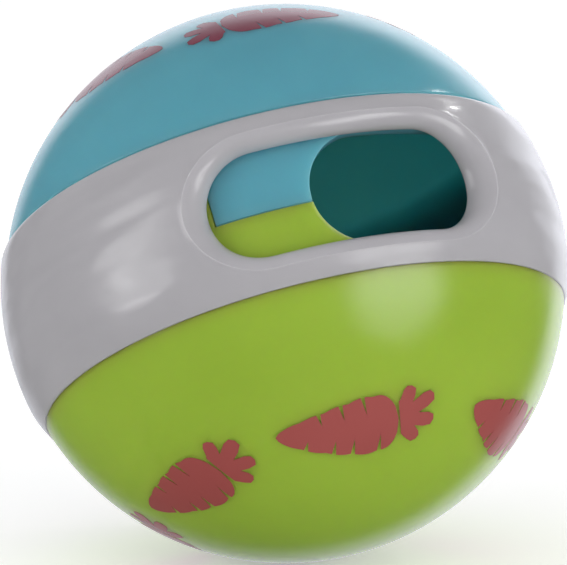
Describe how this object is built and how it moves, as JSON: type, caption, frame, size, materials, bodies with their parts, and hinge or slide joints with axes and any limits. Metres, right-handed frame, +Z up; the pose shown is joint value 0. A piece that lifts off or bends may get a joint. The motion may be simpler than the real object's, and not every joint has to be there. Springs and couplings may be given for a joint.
{
  "type": "treat dispensing ball",
  "caption": "Hard plastic pet ball in pull-apart halves, with a turning equator ring whose lipped window opens or closes a hole that lets treats fall out.",
  "frame": {"origin": "on the floor under the middle of the ball, where the lower half touches the floor", "axes": "+Z up, +X to the right and -Y to the front, where the window of the ring shows; the ball's own axis leans back and to the left"},
  "size_m": [0.07, 0.069, 0.0688],
  "materials": {
    "turquoise_plastic": "moulded turquoise plastic, glossy",
    "lime_plastic": "moulded lime green plastic, glossy",
    "grey_plastic": "moulded light grey plastic, semi-gloss"
  },
  "bodies": {
    "lower_shell": {"lower_shell": "lime_plastic"},
    "upper_shell": {"upper_shell": "turquoise_plastic"},
    "dispenser_ring": {"dispenser_ring": "grey_plastic"}
  },
  "joints": [
    {"name": "ring_turn", "type": "hinge", "parent": "lower_shell", "child": "dispenser_ring", "pos_m": [0, 0, 0.0344], "axis": [-0.2411, 0.4564, 0.8565], "continuous": true},
    {"name": "halves_apart", "type": "slide", "parent": "lower_shell", "child": "upper_shell", "axis": [-0.2411, 0.4564, 0.8565], "range_m": [0, 0.05]}
  ]
}
